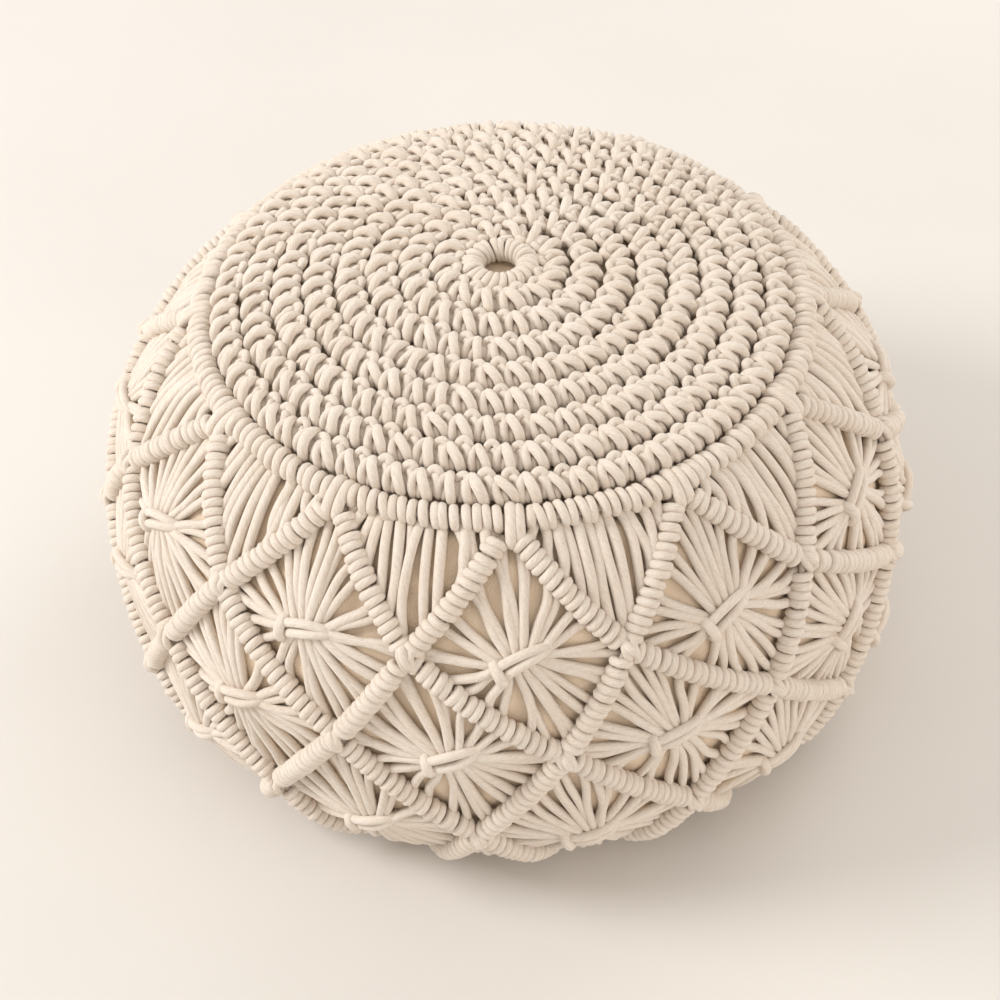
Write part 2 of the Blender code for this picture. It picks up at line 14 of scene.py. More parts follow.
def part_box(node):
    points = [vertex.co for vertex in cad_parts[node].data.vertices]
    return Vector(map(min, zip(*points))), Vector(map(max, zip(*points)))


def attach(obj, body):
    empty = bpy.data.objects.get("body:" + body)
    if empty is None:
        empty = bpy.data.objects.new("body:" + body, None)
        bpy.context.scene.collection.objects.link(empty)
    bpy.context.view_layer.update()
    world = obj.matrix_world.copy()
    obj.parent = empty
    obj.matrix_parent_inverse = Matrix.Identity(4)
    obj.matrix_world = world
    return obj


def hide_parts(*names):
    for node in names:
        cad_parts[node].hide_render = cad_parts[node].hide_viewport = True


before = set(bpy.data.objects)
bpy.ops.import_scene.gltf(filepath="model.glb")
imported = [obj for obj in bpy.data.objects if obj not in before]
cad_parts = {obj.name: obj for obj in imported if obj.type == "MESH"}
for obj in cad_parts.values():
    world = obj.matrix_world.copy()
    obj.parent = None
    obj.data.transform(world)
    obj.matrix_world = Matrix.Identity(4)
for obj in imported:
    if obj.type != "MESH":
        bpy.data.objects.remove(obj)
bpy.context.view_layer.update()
MM = 0.001
SEED = 12

# ---- The cord surface, as in the CAD model ----

RIM_RADIUS = 0.1757
RIM_HEIGHT = 0.2525
CROWN_RISE = 0.0281
CROWN_FULLNESS = 0.73
EQUATOR_RADIUS = 0.2430
EQUATOR_HEIGHT = 0.1356
SHOULDER_INSET = 0.0174
SHOULDER_DROP = 0.0576
HAUNCH_INSET = 0.0026
HAUNCH_HEIGHT = 0.0643
TUCK_INSET = 0.0200
TUCK_HEIGHT = 0.0235
HEM_RADIUS = 0.1820
HEM_HEIGHT = 0.0075
DIAMONDS = 12
TIER_ENDS = (0.0, 0.255, 0.467, 0.705, 1.0)
TIER_TWIST = (0.0, 0.6, 6.3, 9.7, 12.0)
CROSSING_ROWS = (1, 2, 3)
KNOT_ROWS = 8
RING_RADIUS = 0.0152
RING_CORD_RADIUS = 0.0075
RIM_CORD_RADIUS = 0.0070
HEM_CORD_RADIUS = 0.0070
HALF_STEP = np.pi / DIAMONDS
PROFILE_STEPS = 24
RIM_POINT = 2  # the profile's point that is the rim


def profile_line():
    """The profile, a Catmull-Rom line from the crown to the hem."""
    points = [
        (0.0, RIM_HEIGHT + CROWN_RISE),
        (RIM_RADIUS / 2, RIM_HEIGHT + CROWN_RISE * CROWN_FULLNESS),
        (RIM_RADIUS, RIM_HEIGHT),
        (EQUATOR_RADIUS - SHOULDER_INSET, RIM_HEIGHT - SHOULDER_DROP),
        (EQUATOR_RADIUS, EQUATOR_HEIGHT),
        (EQUATOR_RADIUS - HAUNCH_INSET, HAUNCH_HEIGHT),
        (EQUATOR_RADIUS - TUCK_INSET, TUCK_HEIGHT),
        (HEM_RADIUS, HEM_HEIGHT),
    ]
    first = (-points[1][0], points[1][1])
    last = (2 * points[-1][0] - points[-2][0], points[-1][1])
    return smooth(np.array([first, *points, last]), PROFILE_STEPS)


def smooth(knots, steps):
    """A Catmull-Rom line from the second knot to the last but one. Knots may have any leading shape."""
    knots = np.asarray(knots, float)
    share = (np.arange(steps) / steps)[:, None]
    pieces = []
    for i in range(1, knots.shape[-2] - 2):
        before, start, end, after = (knots[..., j, None, :] for j in (i - 1, i, i + 1, i + 2))
        pieces.append(
            0.5
            * (
                2 * start
                + (end - before) * share
                + (2 * before - 5 * start + 4 * end - after) * share**2
                + (3 * start - before - 3 * end + after) * share**3
            )
        )
    pieces.append(knots[..., -2:-1, :])
    return np.concatenate(pieces, axis=-2)


def through(knots, steps):
    """A smooth line from the first knot to the last."""
    knots = np.asarray(knots, float)
    first = 2 * knots[..., :1, :] - knots[..., 1:2, :]
    last = 2 * knots[..., -1:, :] - knots[..., -2:-1, :]
    return smooth(np.concatenate([first, knots, last], axis=-2), steps)


LINE = profile_line()
RUN = np.concatenate([[0.0], np.cumsum(np.hypot(*np.diff(LINE, axis=0).T))])
ALONG = np.gradient(LINE, RUN, axis=0)
ALONG /= np.linalg.norm(ALONG, axis=1)[:, None]
OUTWARD = np.stack([-ALONG[:, 1], ALONG[:, 0]], axis=1)
RIM_RUN = RUN[RIM_POINT * PROFILE_STEPS]
HEM_RUN = RUN[-1]
ROW_RUNS = np.array([RIM_RUN + share * (HEM_RUN - RIM_RUN) for share in TIER_ENDS])


def radius_at(run):
    """How far the cord surface is from the axis."""
    return np.interp(run, RUN, LINE[:, 0])


def place(angle, run, height):
    """Points of the cover."""
    angle, run, height = np.broadcast_arrays(angle, run, height)
    beyond = np.maximum(run - HEM_RUN, 0.0)
    radius = np.interp(run, RUN, LINE[:, 0]) + height * np.interp(run, RUN, OUTWARD[:, 0]) - beyond
    z = np.interp(run, RUN, LINE[:, 1]) + height * np.interp(run, RUN, OUTWARD[:, 1])
    turned = angle + np.radians(np.interp(run, ROW_RUNS, TIER_TWIST))
    return np.stack([radius * np.sin(turned), -radius * np.cos(turned), z], axis=-1)


def normal(angle, run):
    """Outward directions of the cover."""
    return unit(place(angle, run, 0.001) - place(angle, run, 0.0))


def unit(vectors):
    return vectors / np.maximum(np.linalg.norm(vectors, axis=-1, keepdims=True), 1e-12)


def add_object(name, data):
    """A new object in the scene."""
    obj = bpy.data.objects.new(name, data)
    bpy.context.scene.collection.objects.link(obj)
    return obj


# ---- Cords as meshes ----

CAP_BULGE = 0.6  # of the cord's radius
CORD_OFFSET = 0.37  # sets each cord's fibres apart from the last one's
BAKE_ASPECT = 4.0
BAKE_MARGIN = 0.08
WRAP_POINTS = 16


class Cords:
    """Gathers cords and makes them one mesh, with one UV map along each cord and one for baking."""

    def __init__(self):
        self.points, self.loops, self.sizes, self.along, self.cells = [], [], [], [], []
        self.count = 0
        self.strands = 0

    def sweep(self, paths, ups, widths, heights, sides=8, closed=False):
        """Round or oval tubes along paths (cord, point, xyz). Ups point along the section's height."""
        cords, points, _ = paths.shape
        widths = np.broadcast_to(widths, (cords, points))
        heights = np.broadcast_to(heights, (cords, points))
        if closed:
            tangents = unit(np.roll(paths, -1, axis=1) - np.roll(paths, 1, axis=1))
        else:
            tangents = unit(np.gradient(paths, axis=1))
        sideways = unit(np.cross(ups, tangents))
        outward = np.cross(tangents, sideways)
        turns = 2 * np.pi * np.arange(sides) / sides - np.pi / 2
        rings = (
            paths[:, :, None]
            + (widths[..., None] * np.cos(turns))[..., None] * sideways[:, :, None]
            + (heights[..., None] * np.sin(turns))[..., None] * outward[:, :, None]
        )
        index = self.count + np.arange(cords * points * sides).reshape(cords, points, sides)
        self.points.append(rings.reshape(-1, 3))
        self.count += cords * points * sides
        near = index if closed else index[:, :-1]
        far = np.roll(index, -1, axis=1) if closed else index[:, 1:]
        quads = np.stack([near, np.roll(near, -1, axis=2), np.roll(far, -1, axis=2), far], axis=-1)
        steps = near.shape[1]
        length = np.linalg.norm(np.diff(paths, axis=1), axis=-1).sum(axis=1)
        share = np.arange(steps + 1) / steps
        u = np.broadcast_to(share[None, :, None], (cords, steps + 1, sides + 1))
        v = np.broadcast_to((np.arange(sides + 1) / sides)[None, None, :], (cords, steps + 1, sides + 1))
        uv = np.stack([u, v], axis=-1)
        corners = [uv[:, :-1, :-1], uv[:, :-1, 1:], uv[:, 1:, 1:], uv[:, 1:, :-1]]
        uv = np.stack(corners, axis=-2)
        cord_of_face = np.repeat(np.arange(cords), steps * sides)
        self.add_faces(quads.reshape(-1, 4), uv.reshape(-1, 4, 2), cord_of_face, length)
        if not closed:
            bulge = CAP_BULGE * heights[:, [0, -1]]
            self.cap(index[:, 0], paths[:, 0] - bulge[:, :1] * tangents[:, 0], 0.0, length, True)
            self.cap(index[:, -1], paths[:, -1] + bulge[:, 1:] * tangents[:, -1], 1.0, length, False)
        self.strands += cords

    def cap(self, rings, poles, share, length, first):
        """Closes one end of each cord with a low cone of triangles."""
        cords, sides = rings.shape
        pole = self.count + np.arange(cords)
        self.points.append(poles)
        self.count += cords
        after = np.roll(rings, -1, axis=1)
        ends = (after, rings) if first else (rings, after)
        faces = np.stack([*ends, np.broadcast_to(pole[:, None], rings.shape)], axis=-1)
        v = np.arange(sides) / sides
        step = 1 / sides
        v_ends = (v + step, v) if first else (v, v + step)
        corners = [np.stack([np.full(sides, share), w], axis=-1) for w in (*v_ends, v + step / 2)]
        uv = np.stack(corners, axis=1)
        uv = np.broadcast_to(uv[None], (cords, sides, 3, 2))
        self.add_faces(faces.reshape(-1, 3), uv.reshape(-1, 3, 2), np.repeat(np.arange(cords), sides), length)

    def add_faces(self, faces, uv, cord_of_face, length):
        """Keeps faces of one size, with their places on both UV maps."""
        corners = faces.shape[1]
        number = cord_of_face + self.strands
        self.loops.append(faces.reshape(-1))
        self.sizes.append(np.full(len(faces), corners))
        along = uv.copy()
        along[..., 0] = along[..., 0] * length[cord_of_face][:, None] + number[:, None] * CORD_OFFSET
        self.along.append(along.reshape(-1, 2))
        cell = np.repeat(number, corners)
        self.cells.append(np.concatenate([uv.reshape(-1, 2), cell[:, None]], axis=1))

    def make(self, name, finish):
        """One mesh object of all the cords gathered so far."""
        points = np.concatenate(self.points)
        loops = np.concatenate(self.loops)
        sizes = np.concatenate(self.sizes)
        mesh = bpy.data.meshes.new(name)
        mesh.vertices.add(len(points))
        mesh.vertices.foreach_set("co", points.astype(np.float32).ravel())
        mesh.loops.add(len(loops))
        mesh.loops.foreach_set("vertex_index", loops.astype(np.int32))
        mesh.polygons.add(len(sizes))
        starts = np.concatenate([[0], np.cumsum(sizes)[:-1]])
        mesh.polygons.foreach_set("loop_start", starts.astype(np.int32))
        mesh.update(calc_edges=True)
        for layer, uv in (("cord", np.concatenate(self.along)), ("OFBake", self.bake_map())):
            mesh.uv_layers.new(name=layer).data.foreach_set("uv", uv.astype(np.float32).ravel())
        mesh.shade_smooth()
        mesh.materials.append(finish)
        return add_object(name, mesh)

    def bake_map(self):
        """Every cord has its own cell of the square, about four times as wide as high."""
        cells = np.concatenate(self.cells)
        columns = max(1, int(round(np.sqrt(self.strands / BAKE_ASPECT))))
        rows = int(np.ceil(self.strands / columns))
        inside = BAKE_MARGIN / 2 + (1 - BAKE_MARGIN) * cells[:, :2]
        number = cells[:, 2]
        across = (number % columns + inside[:, 0]) / columns
        up = (number // columns + inside[:, 1]) / rows
        return np.stack([across, up], axis=1)


def laid(cords, places, radius):
    """Round cords laid on the cover. Places are (cord, point, (angle, run, height))."""
    angle, run, lift = np.moveaxis(np.asarray(places), -1, 0)
    cords.sweep(place(angle, run, lift), normal(angle, run), radius, radius)


def wraps(cords, middles, tangents, outs, across, deep, thickness, tilt):
    """Closed loops of cord round a carrier, one at each middle. Across and deep are the loop's half sizes."""
    tangents, outs = unit(tangents), unit(outs)
    sideways = unit(np.cross(tangents, outs))
    turns = 2 * np.pi * np.arange(WRAP_POINTS) / WRAP_POINTS
    lean = np.tan(tilt)[:, None] * across[:, None] * np.cos(turns)
    paths = (
        middles[:, None]
        + (across[:, None] * np.cos(turns))[..., None] * sideways[:, None]
        + (deep[:, None] * np.sin(turns))[..., None] * outs[:, None]
        + lean[..., None] * tangents[:, None]
    )
    cords.sweep(paths, paths - middles[:, None], thickness, thickness, closed=True)


def ring_line(run, lift, points):
    """A line round the whole cover, with its outward directions."""
    angles = np.linspace(0, 2 * np.pi, points, endpoint=False)[None]
    return place(angles, run, lift), normal(angles, run)


# ---- Materials ----


class Nodes:
    """A short way to add shader nodes."""

    def __init__(self, name):
        self.material = bpy.data.materials.new(name)
        self.material.use_nodes = True
        self.tree = self.material.node_tree
        self.shader = self.tree.nodes["Principled BSDF"]

    def add(self, kind, settings=(), **inputs):
        node = self.tree.nodes.new("ShaderNode" + kind)
        for name, value in dict(settings).items():
            setattr(node, name, value)
        for name, value in inputs.items():
            self.connect(node.inputs[name.replace("_", " ")], value)
        return node

    def connect(self, socket, value):
        if isinstance(value, bpy.types.NodeSocket):
            self.tree.links.new(value, socket)
        else:
            socket.default_value = value

    def here(self):
        """The place being shaded."""
        return self.add("NewGeometry").outputs["Position"]

    def math(self, operation, first, second=0.0):
        node = self.add("Math", {"operation": operation})
        self.connect(node.inputs[0], first)
        self.connect(node.inputs[1], second)
        return node.outputs[0]

    def choose(self, second_wins, first, second):
        """The first number, or the second where the switch is 1."""
        node = self.add("Mix", {"data_type": "FLOAT"})
        self.connect(node.inputs[0], second_wins)
        self.connect(node.inputs[2], first)
        self.connect(node.inputs[3], second)
        return node.outputs[0]

    def noise(self, vector, scale, detail=3.0, roughness=0.5):
        node = self.add("TexNoise", Vector=vector, Scale=scale, Detail=detail, Roughness=roughness)
        return node.outputs["Fac"]

    def ramp(self, value, stops):
        node = self.add("ValToRGB", Fac=value)
        elements = node.color_ramp.elements
        while len(elements) < len(stops):
            elements.new(0.5)
        for element, (position, colour) in zip(elements, stops):
            element.position = position
            element.color = (*colour, 1.0)
        return node.outputs["Color"]

    def mix(self, share, first, second, blend="MIX"):
        node = self.add("Mix", {"data_type": "RGBA", "blend_type": blend})
        self.connect(node.inputs[0], share)
        self.connect(node.inputs[6], first)
        self.connect(node.inputs[7], second)
        return node.outputs[2]

    def bump(self, height, strength, distance, below=None):
        node = self.add("Bump", Height=height, Strength=strength, Distance=distance)
        if below is not None:
            self.connect(node.inputs["Normal"], below)
        return node.outputs["Normal"]

    def clear_behind(self):
        """Makes the back of the surface clear, so that the underside can be seen through the floor."""
        mix = self.add("MixShader", Fac=self.add("NewGeometry").outputs["Backfacing"])
        self.connect(mix.inputs[1], self.shader.outputs[0])
        self.connect(mix.inputs[2], self.add("BsdfTransparent").outputs[0])
        self.connect(self.tree.nodes["Material Output"].inputs["Surface"], mix.outputs[0])

    def finish(self, colour, roughness, normal_socket=None, **rest):
        self.connect(self.shader.inputs["Base Color"], colour)
        self.connect(self.shader.inputs["Roughness"], roughness)
        if normal_socket is not None:
            self.connect(self.shader.inputs["Normal"], normal_socket)
        for name, value in rest.items():
            self.shader.inputs[name.replace("_", " ")].default_value = value
        return self.material


# ---- Finishes ----

WINDS_PER_METRE = 32.0  # how often the fibres wind round a cord
FIBRES_PER_METRE = 55.0
AROUND_RADIUS = 0.2  # turns an angle round the cushion into a length of cloth
FLAT_ENOUGH = 0.8  # upward share of the outward direction from which cloth counts as level
CREAM_LIGHT = (0.86, 0.785, 0.70)
CREAM = (0.775, 0.675, 0.57)
CREAM_DARK = (0.56, 0.43, 0.31)
LINER_LIGHT = (0.89, 0.74, 0.57)
LINER_DARK = (0.82, 0.66, 0.49)


def cord_material():
    """Soft single-strand cotton: fine fibres that wind along the cord, stray fuzz and uneven colour."""
    n = Nodes("cotton_cord_fibres")
    uv = n.add("UVMap", {"uv_map": "cord"}).outputs["UV"]
    split = n.add("SeparateXYZ", Vector=uv)
    length, turn = split.outputs["X"], split.outputs["Y"]
    wound = n.math("MULTIPLY", n.math("ADD", turn, n.math("MULTIPLY", length, WINDS_PER_METRE)), 2 * np.pi)
    around, beside = n.math("COSINE", wound), n.math("SINE", wound)
    along = n.math("MULTIPLY", length, FIBRES_PER_METRE)
    fibre_space = n.add("CombineXYZ", X=around, Y=beside, Z=along).outputs["Vector"]
    here = n.here()
    fibres = n.noise(fibre_space, 4.4, 5.0, 0.68)
    strands = n.noise(fibre_space, 1.6, 2.0)
    fuzz = n.noise(here, 900.0, 4.0, 0.75)
    patches = n.noise(here, 26.0, 2.0)
    tone = n.ramp(patches, [(0.3, CREAM), (0.7, CREAM_LIGHT)])
    streaks = n.ramp(fibres, [(0.28, CREAM_DARK), (0.5, CREAM), (0.72, CREAM_LIGHT)])
    colour = n.mix(0.6, tone, streaks)
    specks = n.ramp(fuzz, [(0.34, (0.66, 0.58, 0.50)), (0.46, (1.0, 1.0, 1.0))])
    colour = n.mix(0.3, colour, specks, "MULTIPLY")
    normal_socket = n.bump(strands, 0.4, 0.0010)
    normal_socket = n.bump(fibres, 0.8, 0.0006, normal_socket)
    normal_socket = n.bump(fuzz, 0.35, 0.00012, normal_socket)
    roughness = n.math("ADD", n.math("MULTIPLY", fibres, 0.15), 0.78)
    return n.finish(
        colour, roughness, normal_socket, Sheen_Weight=0.25, Sheen_Roughness=0.45, Specular_IOR_Level=0.25
    )


def woven_material(name, light, dark, threads_per_metre, depth):
    """Plain woven cloth. The weave runs round the sides, and straight across the top and the base."""
    n = Nodes(name)
    here = n.here()
    around = n.add("SeparateXYZ", Vector=here)
    wobble = n.math("MULTIPLY", n.math("SUBTRACT", n.noise(here, 60.0, 2.0), 0.5), 0.004)
    angle = n.math("ARCTAN2", around.outputs["X"], around.outputs["Y"])
    facing = n.add("SeparateXYZ", Vector=n.add("NewGeometry").outputs["True Normal"]).outputs["Z"]
    level = n.math("GREATER_THAN", n.math("ABSOLUTE", facing), FLAT_ENOUGH)
    warp_place = n.choose(level, n.math("MULTIPLY", angle, AROUND_RADIUS), around.outputs["X"])
    weft_place = n.math("ADD", n.choose(level, around.outputs["Z"], around.outputs["Y"]), wobble)
    across = n.math("SINE", n.math("MULTIPLY", warp_place, threads_per_metre * np.pi))
    down = n.math("SINE", n.math("MULTIPLY", weft_place, threads_per_metre * np.pi))
    weave = n.math("MULTIPLY", across, down)
    slubs = n.noise(here, 240.0, 4.0, 0.65)
    patches = n.noise(here, 14.0, 2.0)
    tone = n.ramp(patches, [(0.25, dark), (0.75, light)])
    threads = n.ramp(n.math("ADD", n.math("MULTIPLY", weave, 0.35), slubs), [(0.3, dark), (0.8, light)])
    colour = n.mix(0.5, tone, threads)
    normal_socket = n.bump(weave, 0.5, depth)
    normal_socket = n.bump(slubs, 0.4, depth, normal_socket)
    return n.finish(colour, 0.9, normal_socket, Sheen_Weight=0.2, Sheen_Roughness=0.5, Specular_IOR_Level=0.2)


def wadding_material():
    n = Nodes("fibre_wadding")
    here = n.here()
    tufts = n.noise(here, 90.0, 6.0, 0.7)
    colour = n.ramp(tufts, [(0.3, (0.72, 0.71, 0.68)), (0.7, (0.90, 0.89, 0.87))])
    return n.finish(colour, 0.95, n.bump(tufts, 0.8, 0.004), Sheen_Weight=0.3)


def nylon_material():
    n = Nodes("zip_nylon_coil")
    here = n.here()
    haze = n.noise(here, 300.0, 3.0)
    colour = n.ramp(haze, [(0.3, (0.52, 0.43, 0.32)), (0.7, (0.64, 0.55, 0.43))])
    return n.finish(colour, n.math("ADD", n.math("MULTIPLY", haze, 0.2), 0.32), n.bump(haze, 0.1, 0.0001))


def metal_material():
    n = Nodes("zip_satin_metal")
    here = n.here()
    stretched = n.add("Mapping", Vector=here, Scale=(1.0, 12.0, 12.0)).outputs["Vector"]
    brushed = n.noise(stretched, 260.0, 4.0, 0.6)
    wear = n.noise(here, 180.0, 3.0)
    colour = n.ramp(wear, [(0.35, (0.50, 0.48, 0.45)), (0.65, (0.68, 0.66, 0.62))])
    roughness = n.math("ADD", n.math("MULTIPLY", brushed, 0.22), 0.22)
    return n.finish(colour, roughness, n.bump(brushed, 0.15, 0.00005), Metallic=1.0)


# ---- The cover ----


def finish_piece(obj, slot, *nodes, body="cushion"):
    """The body that a piece rides on, and the CAD nodes that it replaces. The slot, for its material, is not
    used.
    """
    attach(obj, body)
    if nodes:
        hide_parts(*nodes)


KNOT_PITCH = 14.3 * MM
KNOT_DRAWN = (16.0 * MM, 18.0 * MM)  # the width and the row pitch that the strands are drawn for
KNOT_THINNER = 0.90
KNOT_SPIN = 0.20
KNOT_TAPER = 0.8
KNOT_RING = (5.8 * MM, 4.2 * MM)  # half sizes of the ring under each row, across and high
KNOT_RING_LIFT = -1.0 * MM
KNOT_STRANDS = (
    # The thick strand that slants across each knot, the leg beside it, the link to the next knot, the end of
    # the link, and the strand between the legs. Each has a radius and points (across, outwards, height), in
    # millimetres.
    (3.25, ((-3.9, -6.8, -0.8), (-3.1, -4.8, 4.0), (-0.3, 0.2, 6.9), (2.8, 4.8, 4.7), (4.3, 7.2, -1.6))),
    (2.80, ((-2.6, -5.6, 1.0), (-4.7, -3.6, 4.2), (-6.2, 0.6, 4.7), (-5.9, 4.4, 2.9), (-4.6, 6.8, -2.2))),
    (2.80, ((0.2, -2.6, -0.8), (2.2, -6.4, 3.2), (5.4, -7.9, 4.6), (8.4, -6.2, 3.4), (10.2, -2.4, -0.8))),
    (2.60, ((4.2, -4.6, 0.4), (7.0, -3.2, 4.0), (8.6, 0.4, 3.2), (7.8, 4.0, -1.8))),
    (2.10, ((-1.6, -1.5, 0.4), (-1.9, 3.0, 1.9), (-1.2, 6.8, -1.8))),
)


def knot_row_runs():
    """Where the rows lie, and how far apart."""
    inner = RING_RADIUS + RING_CORD_RADIUS
    outer = RIM_RUN - RIM_CORD_RADIUS
    pitch = (outer - inner) / KNOT_ROWS
    return [inner + pitch * (row + 0.5) for row in range(KNOT_ROWS)], pitch


def make_knot_rows(finish, random):
    """Each row is a ring of knots of five strands over a flat cord that fills the gaps between them."""
    runs, pitch = knot_row_runs()
    for row, run in enumerate(runs, start=1):
        cords = Cords()
        radius = float(radius_at(run))
        count = int(round(2 * np.pi * radius / KNOT_PITCH))
        width = 2 * np.pi * radius / count
        start = random.uniform(0, 2 * np.pi)
        middles = start + 2 * np.pi * (np.arange(count) + random.normal(0, 0.03, count)) / count
        stretch = np.array([width / KNOT_DRAWN[0], pitch / KNOT_DRAWN[1], 1.0])
        spin = random.normal(0, KNOT_SPIN, count)
        size = 1 + random.normal(0, 0.06, count)
        for thickness, points in KNOT_STRANDS:
            strand = through(np.array(points) * MM * stretch, 3)
            across = strand[:, 0] * np.cos(spin)[:, None] - strand[:, 1] * np.sin(spin)[:, None]
            outwards = strand[:, 1] * np.cos(spin)[:, None] + strand[:, 0] * np.sin(spin)[:, None]
            lift = strand[:, 2] * size[:, None] + random.normal(0, 0.35 * MM, (count, 1))
            places = np.stack([middles[:, None] + across / radius, run + outwards, lift], axis=-1)
            taper = np.ones(strand.shape[0])
            taper[[0, -1]] = KNOT_TAPER
            laid(cords, places, KNOT_THINNER * thickness * MM * size[:, None] * taper)
        ring, outs = ring_line(run, KNOT_RING_LIFT, 96)
        cords.sweep(ring, outs, *KNOT_RING, closed=True)
        finish_piece(cords.make(f"knot_row_{row:02d}_cords", finish), "cotton_cord", f"knot_row_{row:02d}")


RING_WRAPS = 23
RING_POINTS = 18
RING_LOOP = (4.6 * MM, 5.0 * MM)  # half sizes of a wrap, across and high
RING_LOOP_MIDDLE = (1.0 * MM, 0.8 * MM)  # how far out and up its middle lies
RING_LOOP_WIDTHS = (1.75 * MM, 1.1 * MM)  # at the hole, and what is added at the outside
RING_LOOP_HEIGHT = 2.5 * MM
RING_LEG_THICKNESS = 2.4 * MM


def make_centre_ring(finish, random):
    """Cord looped over a ring, thin where the loops crowd round the hole, and the legs that run out of it."""
    cords = Cords()
    angles = 2 * np.pi * (np.arange(RING_WRAPS) + random.normal(0, 0.08, RING_WRAPS)) / RING_WRAPS
    turns = 2 * np.pi * np.arange(RING_POINTS) / RING_POINTS
    across = RING_RADIUS + RING_LOOP_MIDDLE[0] + RING_LOOP[0] * np.cos(turns)
    lift = RING_LOOP_MIDDLE[1] + RING_LOOP[1] * np.sin(turns)
    lean = random.normal(0.10, 0.05, RING_WRAPS)[:, None] * np.sin(turns)
    angle = angles[:, None] + lean
    radius = across[None] * np.ones((RING_WRAPS, 1))
    centre_z = RIM_HEIGHT + CROWN_RISE
    paths = np.stack([radius * np.sin(angle), -radius * np.cos(angle), centre_z + lift + 0 * angle], axis=-1)
    middles = np.stack([np.sin(angles), -np.cos(angles), 0 * angles], axis=-1) * RING_RADIUS
    middles[:, 2] = centre_z
    least, more = RING_LOOP_WIDTHS
    crowd = least + more * (np.cos(turns) * 0.5 + 0.5)
    cords.sweep(paths, paths - middles[:, None], crowd[None], RING_LOOP_HEIGHT, closed=True)
    legs = []
    for angle in angles:
        skew = random.normal(0, 0.05)
        leg = through(
            [
                (angle, RING_RADIUS + 3 * MM, 1.5 * MM),
                (angle + skew, RING_RADIUS + 8 * MM, 1.8 * MM),
                (angle + 2 * skew, RING_RADIUS + 12 * MM, -1.5 * MM),
            ],
            4,
        )
        legs.append(leg)
    laid(cords, legs, RING_LEG_THICKNESS)
    finish_piece(cords.make("centre_ring_wraps", finish), "cotton_cord", "centre_ring")


WRAP_PITCH = 5.1 * MM
CROSSING_ROOM = 5.6 * MM
WRAP_THICKNESS = 2.75 * MM
WRAP_RADIUS = 4.1 * MM
WRAP_LEAN = 8  # degrees
WRAP_LEAN_CHANGE = 2  # added to and taken from it by turns
CARRIER_THICKNESS = 2.0 * MM
BAR_STEPS = 40
BAR_START_ASIDE = 5.2 * MM
BAR_START_DROP = 4.0 * MM
BAR_END_RISE = 1.0 * MM
CROSSING_RISE = 1.0 * MM  # how far the upper bar rises at a crossing
CROSSING_DIP = 2.2 * MM  # how far the lower bar dips
CROSSING_SHARE = 0.14  # of a bar's length between rows, on each side of a crossing


def bar_line(start_angle, direction):
    """Angle and run along one bar, from the rim cord to the hem cord, and the row that each point is at."""
    rows = np.arange(len(ROW_RUNS))
    angles = start_angle + direction * HALF_STEP * rows
    runs = ROW_RUNS.copy()
    angles[0] += direction * BAR_START_ASIDE / RIM_RADIUS
    angles[-1] -= direction * BAR_START_ASIDE / HEM_RADIUS
    runs[0] += RIM_CORD_RADIUS + BAR_START_DROP
    runs[-1] -= HEM_CORD_RADIUS + BAR_END_RISE
    at = np.linspace(0, len(ROW_RUNS) - 1, BAR_STEPS * (len(ROW_RUNS) - 1) + 1)
    return np.interp(at, rows, angles), np.interp(at, rows, runs), at


def along_line(line, length, spots):
    """Points of a line at the given lengths along it."""
    return np.stack([np.interp(spots, length, axis) for axis in line.T], axis=-1)


def make_bars(finish, random):
    """Hitches wrapped along a carrier. The bars that run down to the left lie over the others."""
    for family, direction in (("over", -1), ("under", 1)):
        for number in range(DIAMONDS):
            cords = Cords()
            angle, run, at = bar_line(2 * np.pi * number / DIAMONDS, direction)
            nearest = np.abs(at - np.round(at))
            inside = (np.round(at) > 0) & (np.round(at) < len(ROW_RUNS) - 1)
            lift = np.where(inside, np.clip(1 - nearest / CROSSING_SHARE, 0, 1) ** 2, 0.0)
            lift = lift * (CROSSING_RISE if family == "over" else -CROSSING_DIP)
            line = place(angle, run, lift)
            outs = normal(angle, run)
            length = np.concatenate([[0], np.cumsum(np.linalg.norm(np.diff(line, axis=0), axis=1))])
            count = int(length[-1] / WRAP_PITCH)
            pairing = np.where(np.arange(count) % 2, -1, 1)
            spots = (np.arange(count) + 0.5 + 0.03 * pairing) * length[-1] / count
            spots = spots + random.normal(0, 0.25 * MM, count)
            crossing_runs = np.interp(CROSSING_ROWS, at, length)
            apart = np.abs(spots[:, None] - crossing_runs[None]).min(axis=1)
            spots = spots[apart > CROSSING_ROOM]
            middles, ahead, behind = (along_line(line, length, spots + shift) for shift in (0.0, MM, -MM))
            out = along_line(outs, length, spots)
            count = len(spots)
            swell = 1 + random.normal(0, 0.045, count)
            pairing = np.where(np.arange(count) % 2, 1, -1)
            tilt = np.radians(WRAP_LEAN + WRAP_LEAN_CHANGE * pairing + random.normal(0, 3, count))
            wraps(
                cords,
                middles + random.normal(0, 0.12 * MM, (count, 3)),
                ahead - behind,
                out,
                WRAP_RADIUS * swell,
                WRAP_RADIUS * swell * 0.95,
                WRAP_THICKNESS,
                tilt,
            )
            cords.sweep(line[None, ::4], outs[None, ::4], CARRIER_THICKNESS, CARRIER_THICKNESS, sides=6)
            piece = cords.make(f"bar_{family}_{number + 1:02d}_wraps", finish)
            finish_piece(piece, "cotton_cord", f"bar_{family}_{number + 1:02d}")


# Each strand's place aside, slant, height and half length, in millimetres.
CROSSING_STRANDS = ((-2.7, 0.5, 5.4, 7.6), (2.6, -0.4, 5.7, 7.4), (0.2, 1.6, 7.4, 4.8))
CROSSING_THICKNESS = 2.5 * MM


